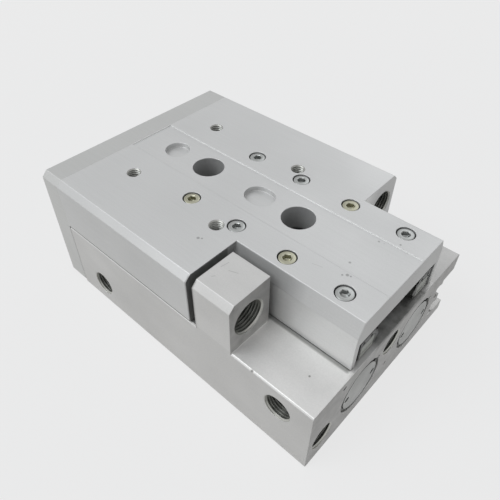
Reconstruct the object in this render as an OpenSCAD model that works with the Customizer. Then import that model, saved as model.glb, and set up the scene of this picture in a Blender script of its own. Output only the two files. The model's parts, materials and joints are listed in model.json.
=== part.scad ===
// Compact pneumatic slide table with two parallel pistons.
// A yoke plate joins both piston rods to a table that runs on a recirculating
// ball guide on top of the housing. Stations along X are measured from the
// yoke plate's outer face, Y from the middle of the width, Z from the base.

/* [Housing] */
// Width of the housing, the table and the yoke plate
body_w = 83; // [83:0.5:96]
// Length of the housing
housing_l = 110; // [110:0.5:124]
// Height of the housing's flat top above the base
housing_h = 29; // [29:0.25:33]
// Chamfer along the housing's long edges
housing_chamfer = 0.5; // [0.3:0.1:1]
// Gap between the yoke plate and the housing when retracted
yoke_gap = 0.3; // [0.3:0.1:1]

/* [Cylinders] */
// Diameter of each cylinder bore
bore_d = 20; // [19:0.25:20.5]
// Distance between the two bore axes
bore_pitch = 32; // [31:0.25:33]
// Height of the bore axes above the base
bore_z = 14.5; // [14:0.1:15]
// Diameter of each piston rod
rod_d = 10; // [9:0.25:11]
// Length of one piston with its clamping disc
piston_l = 20; // [19:0.5:24]
// Radial gap between piston and bore
piston_clear = 0.3; // [0.25:0.05:0.4]
// Radial gap of a seal or bush that runs on a moving face
running_clear = 0.04; // [0.02:0.01:0.08]
// Thickness of the front caps that guide the rods
front_cap_t = 11; // [10.5:0.25:12]
// Thickness of the rear caps
rear_cap_t = 8.25; // [7.25:0.25:9.25]
// Depth of the front circlips below the housing's front face
circlip_depth = 0.8; // [0.5:0.1:1.2]
// Depth of the rear circlips below the housing's rear face
rear_circlip_depth = 0.55; // [0.45:0.05:0.9]
// Depth of the rear caps' middles below the housing's rear face
rear_boss_depth = 0.15; // [0.1:0.05:0.4]
// Thickness of a circlip
circlip_t = 1; // [0.8:0.1:1.2]
// Diameter of the spanner holes in the rear caps
spanner_d = 2.2; // [1.6:0.1:2.6]
// Distance between the two spanner holes of a cap
spanner_pitch = 13.6; // [12:0.1:14]
// Thickness of the rubber bumpers on the rear caps
bumper_t = 3.4; // [2:0.2:3.6]

/* [Air ports] */
// Thread diameter of the air ports
port_d = 9.7; // [9:0.1:10]
// Depth of the air ports
port_depth = 9; // [7:0.5:9.5]
// Height of the front chamber's ports
front_port_z = 9.5; // [9:0.1:10.5]
// Height of the rear chamber's ports
rear_port_z = 20.2; // [19.6:0.1:21]
// Station of the front chamber's side port
front_port_x = 24.7; // [24.2:0.1:26]
// Distance of the rear chamber's side port from the housing's rear face
rear_port_inset = 11.9; // [11.5:0.1:12.2]
// Distance of the front chamber's rear port from the left side
end_port_inset = 7; // [6.5:0.1:7.4]
// Diameter of the air passages
passage_d = 3; // [2:0.25:3.5]

/* [Sensor channel] */
// Height of the channel along the right side
channel_h = 17; // [16.5:0.25:17.5]
// Height of the channel's floor above the base
channel_z = 4.5; // [4:0.25:5]
// Mouth of each sensor slot
slot_mouth = 5.2; // [5:0.1:5.4]
// Width of each sensor slot behind its mouth
slot_w = 6.4; // [6.2:0.1:6.8]
// Depth of each sensor slot
slot_depth = 4.2; // [4.1:0.1:4.4]
// Thickness of the lips at the slots' mouths
slot_lip = 1.2; // [0.8:0.1:1.4]
// Thickness of the wall between the sensor slots and the cylinder bore
slot_wall = 3.8; // [3:0.1:4.4]
// Distance between the two sensor slots
slot_pitch = 8.5; // [8:0.1:9]

/* [Stop lug and arm] */
// Station of the stop lug's front face
lug_x = 76.5; // [76:0.25:78]
// Length of the stop lug and of the table's arm wall along the travel
lug_l = 14.3; // [12:0.1:15]
// Width of the stop lug
lug_w = 16.5; // [16:0.1:17]
// Gap between the table's shoulder and the lug when retracted
lug_gap = 2.5; // [1:0.1:3]
// Station of the end of the table's right arm
arm_end = 91.5; // [90:0.25:93]
// Thread diameter for the stop screws
stop_thread_d = 12; // [10:0.25:12.2]
// Distance of the stop threads from the outer sides
stop_inset = 7.9; // [7.7:0.1:8.3]
// Depth of the stop threads' axes below the table top
stop_drop = 10; // [9.5:0.1:10.5]

/* [Slide table] */
// Height of the table from its underside to its top
table_h = 19.3; // [19.3:0.1:22]
// Gap between the table's underside and the housing
table_gap = 0.3; // [0.3:0.1:0.5]
// Distance that the table ends short of the housing's rear face
table_short = 1.3; // [1:0.1:2]
// Thickness of the table over the guide
plate_t = 9.3; // [9:0.1:10]
// Bevel along the table's, yoke's and lug's outer top edges
edge_bevel = 2; // [1:0.1:2.4]
// Width of the shallow band along the middle of the table top
band_w = 18.3; // [14:0.1:20]
// Depth of the shallow band
band_depth = 0.3; // [0.1:0.05:0.5]
// Thickness of the neck's side walls
neck_wall = 1.8; // [1.6:0.1:2.2]
// Inward lean of the neck's sides at the top
neck_lean = 2.1; // [1:0.1:2.4]
// Height of the leaning part of the neck's sides
neck_lean_h = 5.2; // [4:0.1:6]
// Station where the guide's cavity in the table starts
cavity_x = 38.5; // [37:0.25:39]

/* [Yoke plate] */
// Thickness of the yoke plate
yoke_t = 10.2; // [10:0.1:12]
// Height of the yoke plate's lower edge above the base
yoke_lift = 1.5; // [1:0.1:2]
// Bevel round the yoke plate's outer face
yoke_bevel = 1.2; // [0.5:0.1:1.4]

/* [Mounting holes] */
// Spacing of the table top's mounting grid
grid = 40; // [38:0.5:40]
// Station of the first row of the grid
grid_x = 24.7; // [24:0.1:25.5]
// Thread diameter of the mounting holes
mount_d = 5; // [4:0.5:5]
// Depth of the mounting holes
mount_depth = 8; // [6:0.5:8.5]
// Diameter of the centring hole and width of the centring slot
centring_d = 9; // [8:0.1:10]
// Length of the centring slot
centring_slot_l = 11; // [10.2:0.1:12]
// Depth of the centring hole and slot
centring_depth = 2.1; // [1:0.1:2.5]
// Diameter of the screwdriver access holes
access_d = 11.1; // [10.6:0.1:11.2]
// Station of the first access hole
access_x = 40.8; // [40.5:0.1:41]
// Diameter of the housing's through holes
through_d = 6.6; // [5.5:0.1:6.8]
// Depth of the counterbores over the through holes
through_cb_depth = 6.6; // [6:0.1:7]
// Width of the yoke plate's mounting pattern
yoke_grid_w = 60; // [56:0.5:60]
// Height of the yoke plate's mounting pattern
yoke_grid_h = 20; // [18:0.5:20]
// Height of the pattern's lower row above the base
yoke_grid_z = 10; // [9:0.5:11]

/* [Ball guide] */
// Width of the fixed guide rail
rail_w = 20.6; // [20:0.1:20.8]
// Station of the guide rail's front end
rail_x = 47; // [46.6:0.1:48]
// Length of the guide rail
rail_l = 53; // [52:0.5:60]
// Depth of the guide rail's seat in the housing
rail_seat = 0.5; // [0.3:0.1:0.8]
// Gap between the guide rail and the table above it
rail_top_gap = 1.1; // [0.8:0.1:1.4]
// Diameter of a ball
ball_d = 3.5; // [3.2:0.1:3.6]
// Play round the balls in the cassettes
ball_clear = 0.02; // [0.01:0.01:0.04]
// Gap between the guide rail's and a cassette's faces
raceway_gap = 1.6; // [1.4:0.1:1.8]
// Width of a ball cassette
cassette_w = 8.2; // [8:0.1:8.6]
// Height of a ball cassette
cassette_h = 9.5; // [9:0.1:9.6]
// Length of a cassette's steel body
cassette_l = 68; // [66:0.2:68.4]
// Length of each end of the ball frame
frame_end_l = 5.6; // [5.4:0.1:5.8]
// Depth of the ball rows below the table's plate
row_drop = 5.7; // [5.4:0.1:5.9]
// Distance of the return row from the loaded row
return_offset = 6.5; // [6.3:0.1:6.6]
// Gap between the cassettes and the neck's side walls
cassette_side_gap = 1; // [0.6:0.1:1.2]
// Gap between the ball frames and the table's plate
frame_top_gap = 1.3; // [0.8:0.1:1.6]
// Distance that the ball frames end short of the table's end
frame_inset = 0.2; // [0.1:0.1:0.5]
// Number of screws that hold each cassette
cassette_screw_n = 4; // [3:1:4]
// Distance between the cassette screws
cassette_screw_pitch = 20; // [18:0.5:20]

/* [Advance stop] */
// Station of the stop block's front face
block_x = 24.5; // [24:0.25:26]
// Length of the stop block
block_l = 18; // [16.5:0.25:19]
// Width of the stop block
block_w = 11.2; // [10:0.1:11.4]
// Gap between the stop block's top and the table
block_top_gap = 0.8; // [0.5:0.1:1.2]
// Gap round the stop block's sides in the table's pocket
pocket_side_gap = 0.7; // [0.5:0.1:0.9]
// Gap between the stop block and the front of the pocket when retracted
pocket_front_gap = 2; // [1:0.1:2.5]
// Thickness of the table over the pocket
pocket_roof = 3.6; // [3:0.1:4]
// Distance between the stop block's two screws
block_screw_pitch = 8.4; // [8.2:0.1:8.8]

/* [Hidden] */
$fn = 64;

eps = 0.01;
half_w = body_w / 2;
housing_x = yoke_t + yoke_gap;
overall_l = housing_x + housing_l;
table_z = housing_h + table_gap;
total_h = table_z + table_h;
table_end = overall_l - table_short;
roof_z = total_h - plate_t;

// Cylinders, from the front to the rear
front_cap_x = housing_x + circlip_depth + circlip_t;
rear_cap_x = overall_l - rear_circlip_depth - circlip_t - rear_cap_t;
rear_port_x = overall_l - rear_port_inset;
fit_clear = 0.02;
bush_wall = 1.5;
bush_l = 5;
seal_w = 2.5;
rod_seal_wall = 2;
ring_w = 2;
ring_depth = 1.4;
cap_ring_x = 4.5;
circlip_wall = 1.6;
circlip_bite = 0.5;
circlip_slack = 0.1;
circlip_opening = 2.4;
circlip_play = 0.1;
circlip_d = bore_d + 2 * circlip_bite - 2 * circlip_slack;
rear_boss_play = 0.25;
rear_boss_d = circlip_d - 2 * circlip_wall - 2 * rear_boss_play;
rear_boss_x = overall_l - rear_boss_depth;
notch_d = 2;
notch_out = 0.3;
spanner_depth = 3;
rod_hole_play = 0.8;
ring_play = 0.04;
rear_passage_d = passage_d - 0.5;
channel_y = (bore_pitch + bore_d) / 2 + slot_wall + slot_depth;
rear_opening_angle = 35;
piston_rear_gap = 0.8;
piston_x = rear_cap_x - bumper_t - piston_rear_gap - piston_l;
piston_d = bore_d - 2 * piston_clear;
disc_l = 7;
hub_l = 6;
hub_d = 12;
stud_d = 6;
nut_l = 5;
nut_w = 10;
nut_play = 0.6;
stud_play = 0.1;
lip_seal_depth = 2.5;
lip_seal_play = 0.05;
magnet_play = 0.2;
bumper_d = 12;
spigot_l = 1.5;

// Stops
stop_y = half_w - stop_inset;
stop_z = total_h - stop_drop;
lug_root = 2;
shoulder_x = lug_x - lug_gap;
block_top = total_h - pocket_roof - block_top_gap;
pocket_w = block_w + 2 * pocket_side_gap;
pocket_x = block_x - pocket_front_gap;
block_screw_l = 14;
block_thread_depth = 6;

// Ball guide
row_z = roof_z - row_drop;
row_y = rail_w / 2 + raceway_gap / 2;
cassette_y = rail_w / 2 + raceway_gap;
cassette_mid = cassette_y + cassette_w / 2;
cavity_w = 2 * (cassette_y + cassette_w + cassette_side_gap);
neck_w = cavity_w + 2 * neck_wall;
frame_rear = table_end - frame_inset;
cassette_rear = frame_rear - frame_end_l;
cassette_x = cassette_rear - cassette_l;
frame_front = cassette_x - frame_end_l;
frame_lift = 0.3;
frame_inner_gap = 0.1;
frame_outer_gap = 0.5;
frame_w = cassette_w - frame_inner_gap - frame_outer_gap;
frame_h = cassette_h - frame_top_gap - frame_lift;
frame_base = roof_z - cassette_h + frame_lift;
strip_reach = 0.4;
strip_h = 1.6;
strip_gap = ball_d / 2 - 0.3;
strip_play = 0.04;
nose_l = 1.4;
nose_d = ball_d - 0.6;
nose_h = 2 * strip_gap + 0.2;
joint_lap = 1;
cover_r = 1.9;
cover_seam_w = 0.35;
frame_hole_d = 1.2;
frame_hole_y = [2.2, frame_w - 1.6];
frame_hole_drop = 1.4;
channel_d = ball_d + 2 * ball_clear;
turn_r = return_offset / 2;
rail_top = roof_z - rail_top_gap;
rail_base = housing_h - rail_seat;
rail_chamfer = 0.6;
rail_screw_inset = 6;
rail_screw_step = 14;
rail_screw_x = [rail_x + rail_screw_inset, rail_x + rail_screw_inset + rail_screw_step,
    rail_x + rail_l - rail_screw_inset];
cassette_screw_mid = (frame_front + frame_rear) / 2;
cassette_screw_x0 = cassette_screw_mid - cassette_screw_pitch * (cassette_screw_n - 1) / 2;
loop_l = 2 * cassette_l + 2 * PI * turn_r;
ball_spacing = 1.07;
ball_n = floor(loop_l / (ball_spacing * ball_d));

// Metric socket head screws: shank, head diameter, head height, socket width
m3 = [3, 5.5, 3, 2.5];
m4 = [4, 7, 4, 3];
m5 = [5, 8.5, 5, 4];
head_clear = 0.3;
shank_clear = 0.4;
thread_clear = 0.1;
head_sink = 0.2;
thread_run_out = 1;
thread_floor = 0.2;
rail_screw_bite = 7;
cassette_screw_bite = 3.2;
yoke_screw_bite = 8.5;
rod_screw_bite = 12;
yoke_screw_inset = 7.5;
yoke_screw_inner_y = 12;

// Blind drillings in the rear face: one below the rear port, one above the left bore
drill_d = 1.8;
drill_depth = 3;
drill_port_drop = 11.5;
drill_bore_offset = 10.5;
drill_top_inset = 3.4;

// Overshoot of every cut past the face that it opens
cut = 1;

// ---------- helpers ----------

// Moves from stations along X to the part's own origin
module place() {
    translate([-overall_l / 2, 0, 0]) children();
}

// Cylinder along X from x0 to x1
module bar_x(d, x0, x1, y, z) {
    translate([x0, y, z]) rotate([0, 90, 0]) cylinder(d = d, h = x1 - x0);
}

// Cylinder along Y from y0 to y1
module bar_y(d, y0, y1, x, z) {
    translate([x, y0, z]) rotate([-90, 0, 0]) cylinder(d = d, h = y1 - y0);
}

// Cylinder along Z from z0 to z1
module bar_z(d, z0, z1, x, y) {
    translate([x, y, z0]) cylinder(d = d, h = z1 - z0);
}

// Tube along X from x0 to x1
module tube_x(outer, inner, x0, x1, y, z) {
    difference() {
        bar_x(outer, x0, x1, y, z);
        bar_x(inner, x0 - cut, x1 + cut, y, z);
    }
}

// Profile in the Y-Z plane, extruded along X from x0 to x1
module along_x(x0, x1) {
    translate([x0, 0, 0]) rotate([90, 0, 90]) linear_extrude(x1 - x0) children();
}

// Both cylinders: the child is made once on each bore's axis
module each_bore() {
    for (side = [-1, 1]) {
        translate([0, side * bore_pitch / 2, bore_z]) children();
    }
}

// Socket head screw, head up, with its seat at the origin
module socket_screw(size, length) {
    difference() {
        union() {
            cylinder(d = size[1], h = size[2]);
            translate([0, 0, -length]) cylinder(d = size[0], h = length + eps);
        }
        translate([0, 0, size[2] * 0.45]) cylinder(d = size[3] / cos(30), h = size[2], $fn = 6);
    }
}

// Clearance hole and counterbore for that screw, down from its seat
module screw_hole(size, through, head_room) {
    translate([0, 0, -through]) cylinder(d = size[0] + shank_clear, h = through + eps);
    cylinder(d = size[1] + 2 * head_clear, h = head_room);
}

// Plain snap ring in the plane across X, open at the given angle from +Y
module circlip(gap_angle) {
    rotate([gap_angle, 0, 0]) difference() {
        tube_x(circlip_d, circlip_d - 2 * circlip_wall, 0, circlip_t, 0, 0);
        translate([-cut, 0, -circlip_opening / 2]) cube([circlip_t + 2 * cut, circlip_d, circlip_opening]);
    }
}

// ---------- housing ----------

// Cross-section with the sensor channel and its two slots on the right side
module housing_profile() {
    c = housing_chamfer;
    difference() {
        polygon([[-half_w + c, 0], [half_w - c, 0], [half_w, c], [half_w, housing_h - c],
            [half_w - c, housing_h], [-half_w + c, housing_h], [-half_w, housing_h - c], [-half_w, c]]);
        translate([channel_y, channel_z]) square([half_w - channel_y + cut, channel_h]);
        for (side = [-1, 1]) {
            translate([channel_y, channel_z + channel_h / 2 + side * slot_pitch / 2]) {
                translate([-slot_depth, -slot_mouth / 2]) square([slot_depth + eps, slot_mouth]);
                translate([-slot_depth, -slot_w / 2]) square([slot_depth - slot_lip, slot_w]);
            }
        }
    }
}

// Lug cross-section, bevelled at its outer top edge
module lug_profile() {
    root_z = housing_h - lug_root;
    polygon([[-half_w, root_z], [-half_w, total_h - edge_bevel],
        [-half_w + edge_bevel, total_h], [-half_w + lug_w, total_h], [-half_w + lug_w, root_z]]);
}

module air_passages() {
    end_port_y = -half_w + end_port_inset;
    side_end = -half_w + port_depth;
    bar_y(port_d, -half_w - cut, side_end, front_port_x, front_port_z);
    bar_y(port_d, -half_w - cut, side_end, rear_port_x, rear_port_z);
    bar_x(port_d, overall_l - port_depth, overall_l + cut, end_port_y, front_port_z);
    bar_x(port_d, overall_l - port_depth, overall_l + cut, 0, rear_port_z);
    bar_x(passage_d, front_port_x, overall_l - port_depth + cut, end_port_y, front_port_z);
    bar_y(passage_d, side_end - cut, bore_pitch / 2, front_port_x, front_port_z);
    bar_y(passage_d, side_end - cut, bore_pitch / 2, rear_port_x, rear_port_z);
    bar_x(rear_passage_d, rear_port_x, overall_l - port_depth + cut, 0, rear_port_z);
}

module housing() {
    groove_d = bore_d + 2 * circlip_bite;
    groove_w = circlip_t + circlip_play;
    color("silver") place() difference() {
        union() {
            along_x(housing_x, overall_l) housing_profile();
            along_x(lug_x, lug_x + lug_l) lug_profile();
        }
        each_bore() {
            bar_x(bore_d, housing_x - cut, overall_l + cut, 0, 0);
            bar_x(groove_d, housing_x + circlip_depth, housing_x + circlip_depth + groove_w, 0, 0);
            bar_x(groove_d, overall_l - rear_circlip_depth - groove_w, overall_l - rear_circlip_depth, 0, 0);
            // Notch that lets a tool behind the rear circlip
            rotate([rear_opening_angle, 0, 0])
                bar_x(notch_d, overall_l - rear_circlip_depth - groove_w / 2, overall_l + cut,
                    bore_d / 2 + notch_out, 0);
        }
        bar_x(stop_thread_d, lug_x - cut, lug_x + lug_l + cut, -stop_y, stop_z);
        air_passages();
        // Through holes that fasten the housing from above
        for (i = [0, 1]) {
            bar_z(through_d, -cut, housing_h + cut, access_x + i * grid, 0);
            bar_z(access_d, housing_h - through_cb_depth, housing_h + cut, access_x + i * grid, 0);
        }
        // Seat and threads of the guide rail
        translate([rail_x - fit_clear, -rail_w / 2 - fit_clear, rail_base])
            cube([rail_l + 2 * fit_clear, rail_w + 2 * fit_clear, rail_seat + cut]);
        for (x = rail_screw_x) {
            bar_z(m4[0] + thread_clear, rail_base - rail_screw_bite - thread_run_out, rail_base + cut, x, 0);
        }
        // Threads of the stop block
        for (x = block_screw_x()) {
            bar_z(m4[0] + thread_clear, housing_h - block_thread_depth - thread_run_out, housing_h + cut,
                x, stop_y);
        }
        // Blind drillings in the rear face
        bar_x(drill_d, overall_l - drill_depth, overall_l + cut, 0, rear_port_z - drill_port_drop);
        bar_x(drill_d, overall_l - drill_depth, overall_l + cut, -bore_pitch / 2 - drill_bore_offset,
            housing_h - drill_top_inset);
    }
}

// ---------- pneumatic cylinders ----------

module front_cap(side) {
    color("dimgray") place() translate([0, side * bore_pitch / 2, bore_z]) difference() {
        bar_x(bore_d - 2 * fit_clear, front_cap_x, front_cap_x + front_cap_t, 0, 0);
        bar_x(rod_d + rod_hole_play, front_cap_x - cut, front_cap_x + front_cap_t + cut, 0, 0);
        // Pocket of the rod seal, open to the front
        bar_x(rod_d + 2 * rod_seal_wall + 2 * fit_clear, front_cap_x - cut, front_cap_x + seal_w, 0, 0);
        // Seat of the bush, open to the rear
        bar_x(rod_d + 2 * bush_wall + 2 * fit_clear, front_cap_x + front_cap_t - bush_l,
            front_cap_x + front_cap_t + cut, 0, 0);
        cap_groove(front_cap_x + cap_ring_x - ring_w / 2);
    }
}

// Groove for a sealing ring round a cap
module cap_groove(x) {
    tube_x(bore_d + 2 * cut, bore_d - 2 * ring_depth, x, x + ring_w, 0, 0);
}

module front_cap_left() {
    front_cap(-1);
}

module front_cap_right() {
    front_cap(1);
}

module rod_bushes() {
    rear = front_cap_x + front_cap_t;
    color("peru") place() each_bore()
        tube_x(rod_d + 2 * bush_wall, rod_d + 2 * running_clear, rear - bush_l, rear, 0, 0);
}

module rod_seals() {
    color("black") place() each_bore()
        tube_x(rod_d + 2 * rod_seal_wall, rod_d + 2 * running_clear, front_cap_x, front_cap_x + seal_w, 0, 0);
}

// Sealing ring with a round section, lying in a cap's groove
module cap_ring(x) {
    section_d = ring_depth;
    mid_r = bore_d / 2 - fit_clear - section_d / 2;
    translate([x, 0, 0]) rotate([0, 90, 0]) rotate_extrude()
        translate([mid_r, 0]) circle(d = section_d - ring_play);
}

module front_cap_rings() {
    color("black") place() each_bore() cap_ring(front_cap_x + cap_ring_x);
}

module front_circlips() {
    color("gray") place() each_bore() translate([housing_x + circlip_depth, 0, 0]) circlip(-90);
}

// Cap whose middle comes out through the circlip, nearly flush with the rear face
module rear_cap(side) {
    color("slategray") place() translate([0, side * bore_pitch / 2, bore_z]) difference() {
        union() {
            bar_x(bore_d - 2 * fit_clear, rear_cap_x, rear_cap_x + rear_cap_t, 0, 0);
            bar_x(rear_boss_d, rear_cap_x + rear_cap_t - cut, rear_boss_x, 0, 0);
        }
        for (pin = [-1, 1]) {
            bar_x(spanner_d, rear_boss_x - spanner_depth, rear_boss_x + cut, pin * spanner_pitch / 2, 0);
        }
        cap_groove(rear_cap_x + cap_ring_x - ring_w / 2);
    }
}

module rear_cap_left() {
    rear_cap(-1);
}

module rear_cap_right() {
    rear_cap(1);
}

module rear_cap_rings() {
    color("black") place() each_bore() cap_ring(rear_cap_x + cap_ring_x);
}

module rear_circlips() {
    color("gray") place() each_bore() translate([rear_cap_x + rear_cap_t, 0, 0]) circlip(rear_opening_angle);
}

module rear_bumpers() {
    color("olive") place() each_bore() bar_x(bumper_d, rear_cap_x - bumper_t, rear_cap_x, 0, 0);
}

// ---------- advance stop ----------

function block_screw_x() = [for (side = [-1, 1]) block_x + block_l / 2 + side * block_screw_pitch / 2];

module stop_block() {
    seat_z = housing_h - block_thread_depth + block_screw_l;
    color("gray") place() difference() {
        translate([block_x, stop_y - block_w / 2, housing_h]) cube([block_l, block_w, block_top - housing_h]);
        for (x = block_screw_x()) translate([x, stop_y, seat_z]) screw_hole(m4, block_screw_l, total_h);
    }
}

module stop_block_screws() {
    seat_z = housing_h - block_thread_depth + block_screw_l;
    color("dimgray") place()
        for (x = block_screw_x()) translate([x, stop_y, seat_z]) socket_screw(m4, block_screw_l);
}

// ---------- ball guide ----------

// Height of the seats under the rail screws' heads
function rail_seat_z() = rail_top - m4[2] - head_sink;

module guide_rail() {
    c = rail_chamfer;
    half = rail_w / 2;
    color("lightslategray") place() difference() {
        along_x(rail_x, rail_x + rail_l)
            polygon([[-half, rail_base], [half, rail_base], [half, rail_top - c], [half - c, rail_top],
                [-half + c, rail_top], [-half, rail_top - c]]);
        for (side = [-1, 1]) {
            bar_x(ball_d + 2 * running_clear, rail_x - cut, rail_x + rail_l + cut, side * row_y, row_z);
        }
        bar_z(access_d, rail_base - cut, rail_top + cut, access_x + grid, 0);
        for (x = rail_screw_x) translate([x, 0, rail_seat_z()]) screw_hole(m4, total_h, total_h);
    }
}

module guide_rail_screws() {
    length = rail_seat_z() - rail_base + rail_screw_bite;
    color("dimgray") place() for (x = rail_screw_x) {
        translate([x, 0, rail_seat_z()]) socket_screw(m4, length);
    }
}

// Steel body of a cassette, with its raceway, its return bore and its screw threads
module cassette(side) {
    inner_y = side > 0 ? cassette_y : -cassette_y - cassette_w;
    color("lightsteelblue") place() difference() {
        translate([cassette_x, inner_y, roof_z - cassette_h]) cube([cassette_l, cassette_w, cassette_h]);
        bar_x(channel_d, cassette_x - cut, cassette_rear + cut, side * row_y, row_z);
        bar_x(channel_d, cassette_x - cut, cassette_rear + cut, side * (row_y + return_offset), row_z);
        for (i = [0 : cassette_screw_n - 1]) {
            bar_z(m3[0] + thread_clear, row_z + channel_d / 2 + thread_floor, roof_z + cut,
                cassette_screw_x0 + i * cassette_screw_pitch, side * cassette_mid);
        }
    }
}

module cassette_left() {
    cassette(-1);
}

module cassette_right() {
    cassette(1);
}

// Half ring that turns the balls from the raceway into the return bore
module ball_turn(side, x) {
    translate([x, side * (row_y + turn_r), row_z - channel_d / 2]) difference() {
        cylinder(d = 2 * turn_r + channel_d, h = channel_d);
        translate([0, 0, -cut]) cylinder(d = 2 * turn_r - channel_d, h = channel_d + 2 * cut);
    }
}

// Box whose inner and outer sides are given for the right half of the guide
module side_box(side, x0, x1, y0, y1, z0, z1) {
    translate([x0, side > 0 ? y0 : -y1, z0]) cube([x1 - x0, y1 - y0, z1 - z0]);
}

// Rounded cover over a turn, from the inner face of the frame's end outward
module cover_outline(side, r, l) {
    bar_x(2 * r, 0, l, side * (row_y + return_offset), row_z);
    side_box(side, 0, l, cassette_y, row_y + return_offset, row_z - r, row_z + r);
}

// Plastic frame: two ends with the turns, joined by strips that hold the balls in
module ball_frame(side) {
    strip_y = row_y - strip_reach;
    end_y = cassette_y + frame_inner_gap;
    color("darkslategray") place() difference() {
        union() {
            for (x = [frame_front, cassette_rear]) {
                side_box(side, x, x + frame_end_l, end_y, end_y + frame_w, frame_base, frame_base + frame_h);
            }
            // Noses that reach into the guide rail's grooves and close the channel's ends
            for (x = [frame_front, frame_rear - nose_l]) {
                bar_x(nose_d, x, x + nose_l, side * row_y, row_z);
                side_box(side, x, x + nose_l, strip_y, end_y + joint_lap,
                    row_z - nose_h / 2, row_z + nose_h / 2);
            }
            for (z = [row_z + strip_gap, row_z - strip_gap - strip_h]) {
                side_box(side, frame_front, frame_rear, strip_y, cassette_y - strip_play, z, z + strip_h);
                for (x = [frame_front, cassette_rear]) {
                    side_box(side, x, x + frame_end_l, strip_y, end_y + joint_lap, z, z + strip_h);
                }
            }
        }
        bar_x(channel_d, frame_front + nose_l, frame_rear - nose_l, side * row_y, row_z);
        ball_turn(side, cassette_x);
        ball_turn(side, cassette_rear);
        // Seam round the turn's cover in the rear end
        translate([frame_rear - cover_seam_w, 0, 0]) difference() {
            cover_outline(side, cover_r, frame_rear);
            translate([-cut, 0, 0]) cover_outline(side, cover_r - cover_seam_w, frame_rear);
        }
        // Two small screw holes in the rear end
        for (y = frame_hole_y) {
            bar_x(frame_hole_d, frame_rear - frame_hole_d, frame_rear + cut, side * (cassette_y + y),
                frame_base + frame_h - frame_hole_drop);
        }
    }
}

module ball_frame_left() {
    ball_frame(-1);
}

module ball_frame_right() {
    ball_frame(1);
}

// Place of a ball after a way s round the loop, as [x, distance outward from the loaded row]
function loop_point(s) =
    s < cassette_l ? [cassette_x + s, 0] :
    s < cassette_l + PI * turn_r ?
        let (a = (s - cassette_l) / turn_r * 180 / PI)
        [cassette_rear + turn_r * sin(a), turn_r * (1 - cos(a))] :
    s < 2 * cassette_l + PI * turn_r ?
        [cassette_rear - (s - cassette_l - PI * turn_r), return_offset] :
        let (a = (s - 2 * cassette_l - PI * turn_r) / turn_r * 180 / PI)
        [cassette_x - turn_r * sin(a), turn_r * (1 + cos(a))];

module guide_balls() {
    color("white") place() for (side = [-1, 1], i = [0 : ball_n - 1]) {
        p = loop_point(i * loop_l / ball_n);
        translate([p[0], side * (row_y + p[1]), row_z]) sphere(d = ball_d, $fn = 24);
    }
}

module cassette_screws() {
    seat_z = total_h - m3[2] - head_sink;
    color("gray") place() for (side = [-1, 1], i = [0 : cassette_screw_n - 1]) {
        translate([cassette_screw_x0 + i * cassette_screw_pitch, side * cassette_mid, seat_z])
            socket_screw(m3, seat_z - roof_z + cassette_screw_bite);
    }
}

// ---------- slide table and yoke ----------

// Outline of the table from the front, bevelled along its outer top edges
module table_profile() {
    polygon([[-half_w, table_z], [half_w, table_z], [half_w, total_h - edge_bevel],
        [half_w - edge_bevel, total_h], [-half_w + edge_bevel, total_h], [-half_w, total_h - edge_bevel]]);
}

// Space beside the neck, with the neck's leaning side as its inner wall
module beside_neck(side) {
    inner = neck_w / 2;
    scale([side, 1]) polygon([[inner, table_z - cut], [half_w + cut, table_z - cut],
        [half_w + cut, total_h + cut], [inner - neck_lean, total_h + cut],
        [inner - neck_lean, total_h], [inner, total_h - neck_lean_h]]);
}

module slide_table() {
    pocket_end = arm_end - lug_l;
    color("gainsboro") place() difference() {
        along_x(yoke_t, table_end) table_profile();
        along_x(shoulder_x, table_end + cut) beside_neck(-1);
        along_x(arm_end, table_end + cut) beside_neck(1);
        // Cavity over the guide
        translate([cavity_x, -cavity_w / 2, table_z - cut])
            cube([table_end - cavity_x + cut, cavity_w, roof_z - table_z + cut]);
        // Pocket over the stop block
        translate([pocket_x, stop_y - pocket_w / 2, table_z - cut])
            cube([pocket_end - pocket_x, pocket_w, total_h - pocket_roof - table_z + cut]);
        bar_x(stop_thread_d, pocket_end - cut, arm_end + cut, stop_y, stop_z);
        // Shallow band along the middle
        translate([yoke_t - cut, -band_w / 2, total_h - band_depth])
            cube([table_end - yoke_t + 2 * cut, band_w, band_depth + cut]);
        // Mounting grid
        for (i = [0, 1], side = [-1, 1]) {
            bar_z(mount_d, total_h - mount_depth, total_h + cut, grid_x + i * grid, side * grid / 2);
        }
        // Centring hole and slot
        bar_z(centring_d, total_h - centring_depth, total_h + cut, grid_x, 0);
        slot_r = (centring_slot_l - centring_d) / 2;
        for (end = [-1, 1]) {
            bar_z(centring_d, total_h - centring_depth, total_h + cut, grid_x + grid + end * slot_r, 0);
        }
        translate([grid_x + grid - slot_r, -centring_d / 2, total_h - centring_depth])
            cube([2 * slot_r, centring_d, centring_depth + cut]);
        // Access to the housing's screws
        for (i = [0, 1]) bar_z(access_d, table_z - cut, total_h + cut, access_x + i * grid, 0);
        // Holes of the cassette screws
        for (i = [0 : cassette_screw_n - 1], side = [-1, 1]) {
            x = cassette_screw_x0 + i * cassette_screw_pitch;
            translate([x, side * cassette_mid, total_h - m3[2] - head_sink]) screw_hole(m3, plate_t, total_h);
        }
        // Threads of the yoke screws
        for (y = yoke_screw_y()) {
            thread_end = yoke_t + yoke_screw_bite + thread_run_out;
            bar_x(m5[0] + thread_clear, yoke_t - cut, thread_end, y, yoke_screw_z());
        }
    }
}

function yoke_screw_y() = [-half_w + yoke_screw_inset, -yoke_screw_inner_y, yoke_screw_inner_y,
    half_w - yoke_screw_inset];
function yoke_screw_z() = table_z + table_h / 2;

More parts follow.
